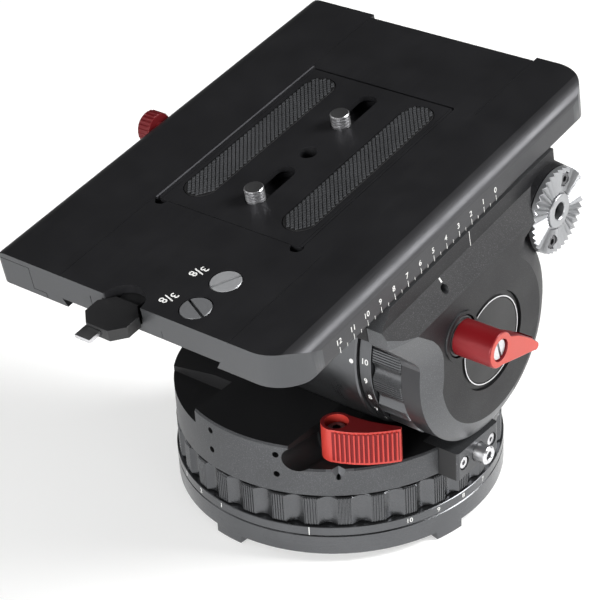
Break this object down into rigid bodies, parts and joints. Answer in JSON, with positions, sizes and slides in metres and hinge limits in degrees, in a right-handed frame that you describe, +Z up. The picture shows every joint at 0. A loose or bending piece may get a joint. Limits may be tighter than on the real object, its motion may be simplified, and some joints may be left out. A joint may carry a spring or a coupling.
{
  "type": "fluid head",
  "caption": "Camera fluid head with a sliding quick plate, drag dials for pan and tilt, brake levers, handle rosettes and a flat round base.",
  "frame": {"origin": "centre of the base's flat bottom face, on the pan axis", "axes": "+Z up along the pan axis, +X towards the tilt brake's side, -Y towards the lens end"},
  "size_m": [0.2125, 0.2623, 0.2037],
  "materials": {
    "black_anodised": "black satin",
    "grey_anodised": "grey satin",
    "black_moulded": "matte",
    "black_metal": "matte black",
    "bright_steel": "turned",
    "bright_aluminium": "machined",
    "red_anodised": "matte red",
    "pad_rubber": "moulded diamonds",
    "cartridge_brass": "turned",
    "vial_glass": "clear green"
  },
  "bodies": {
    "base": {"base_flange": "grey_anodised", "pan_spindle": "bright_steel", "pan_fluid_cartridge": "cartridge_brass"},
    "pan_drag_dial": {"pan_drag_ring": "grey_anodised", "pan_number_ring": "grey_anodised"},
    "pan_unit": {"pan_body": "grey_anodised", "pan_bearing": "bright_steel", "lock_block": "black_metal", "block_screw_front": "bright_steel", "block_screw_rear": "bright_steel", "steel_pin": "bright_steel", "bubble_bezel": "black_moulded", "bubble_vial": "vial_glass", "tilt_core": "grey_anodised", "hub_right": "bright_steel", "hub_left": "bright_steel", "tilt_bearing_right": "bright_steel", "tilt_bearing_left": "bright_steel", "tilt_fluid_cartridge": "cartridge_brass", "counterbalance_springs": "bright_steel"},
    "pan_brake": {"pan_brake_lever": "red_anodised", "pan_brake_screw": "bright_steel"},
    "tilt_drag_dial": {"tilt_drag_ring": "grey_anodised", "tilt_number_ring": "grey_anodised"},
    "counterbalance_dial": {"counterbalance_ring": "grey_anodised", "counterbalance_number_ring": "grey_anodised"},
    "tilt_frame": {"tilt_bridge": "black_anodised", "slide_rail": "black_metal", "right_cheek": "black_anodised", "left_cheek": "black_anodised", "left_cover": "black_moulded", "badge_ring": "bright_steel", "badge_disc": "black_moulded", "tilt_brake_collar": "black_moulded", "tilt_shaft": "bright_steel", "right_rosette": "bright_aluminium", "left_rosette": "bright_aluminium", "right_rosette_screw_upper": "bright_steel", "right_rosette_screw_lower": "bright_steel", "left_rosette_screw_upper": "bright_steel", "left_rosette_screw_lower": "bright_steel"},
    "tilt_brake": {"tilt_brake_knob": "red_anodised", "tilt_brake_screw": "bright_steel"},
    "sliding_platform": {"platform": "black_anodised", "left_clamp_rail": "grey_anodised", "camera_plate": "black_anodised", "pad_left": "pad_rubber", "pad_right": "pad_rubber", "spare_screw_a": "bright_steel", "spare_screw_b": "bright_steel"},
    "plate_lock": {"plate_lock_knob": "red_anodised"},
    "screw_key": {"key_head": "black_moulded", "key_blade": "bright_steel"},
    "front_washer": {"screw_washer_front": "bright_steel"},
    "front_camera_screw": {"camera_screw_front": "bright_steel"},
    "rear_washer": {"screw_washer_rear": "bright_steel"},
    "rear_camera_screw": {"camera_screw_rear": "bright_steel"}
  },
  "joints": [
    {"name": "pan_drag_turn", "type": "hinge", "parent": "base", "child": "pan_drag_dial", "pos_m": [0, 0, 0.018], "axis": [0, 0, 1], "range_deg": [0, 146]},
    {"name": "pan_turn", "type": "hinge", "parent": "base", "child": "pan_unit", "pos_m": [0, 0, 0.045], "axis": [0, 0, 1], "continuous": true},
    {"name": "pan_brake_turn", "type": "hinge", "parent": "pan_unit", "child": "pan_brake", "pos_m": [0.04361, -0.05602, 0.06], "axis": [0, 0, 1], "range_deg": [-40, 0]},
    {"name": "tilt_drag_turn", "type": "hinge", "parent": "pan_unit", "child": "tilt_drag_dial", "pos_m": [0.07, 0, 0.1073], "axis": [1, 0, 0], "range_deg": [-120, 0]},
    {"name": "counterbalance_turn", "type": "hinge", "parent": "pan_unit", "child": "counterbalance_dial", "pos_m": [-0.07, 0, 0.1073], "axis": [1, 0, 0], "range_deg": [-120, 0]},
    {"name": "tilt_turn", "type": "hinge", "parent": "pan_unit", "child": "tilt_frame", "pos_m": [0, 0, 0.1073], "axis": [1, 0, 0], "range_deg": [-69, 50.9]},
    {"name": "tilt_brake_turn", "type": "hinge", "parent": "tilt_frame", "child": "tilt_brake", "pos_m": [0.1, -0.02538, 0.12349], "axis": [1, 0, 0], "range_deg": [-45, 45]},
    {"name": "platform_slide", "type": "slide", "parent": "tilt_frame", "child": "sliding_platform", "axis": [0, 0.9874, 0.1582], "range_m": [-0.023, 0.097]},
    {"name": "plate_lock_turn", "type": "hinge", "parent": "sliding_platform", "child": "plate_lock", "pos_m": [-0.09, -0.02131, 0.17711], "axis": [1, 0, 0], "range_deg": [-90, 0]},
    {"name": "screw_key_slide", "type": "slide", "parent": "sliding_platform", "child": "screw_key", "axis": [0, -0.9874, -0.1582], "range_m": [0, 0.024]},
    {"name": "front_screw_slide", "type": "slide", "parent": "sliding_platform", "child": "front_washer", "axis": [0, 0.9874, 0.1582], "range_m": [0, 0.0215]},
    {"name": "front_screw_turn", "type": "hinge", "parent": "front_washer", "child": "front_camera_screw", "pos_m": [0, -0.05226, 0.1759], "axis": [0, -0.1582, 0.9874], "continuous": true},
    {"name": "rear_screw_slide", "type": "slide", "parent": "sliding_platform", "child": "rear_washer", "axis": [0, 0.9874, 0.1582], "range_m": [0, 0.0205]},
    {"name": "rear_screw_turn", "type": "hinge", "parent": "rear_washer", "child": "rear_camera_screw", "pos_m": [0, 0.01291, 0.18634], "axis": [0, -0.1582, 0.9874], "continuous": true}
  ]
}
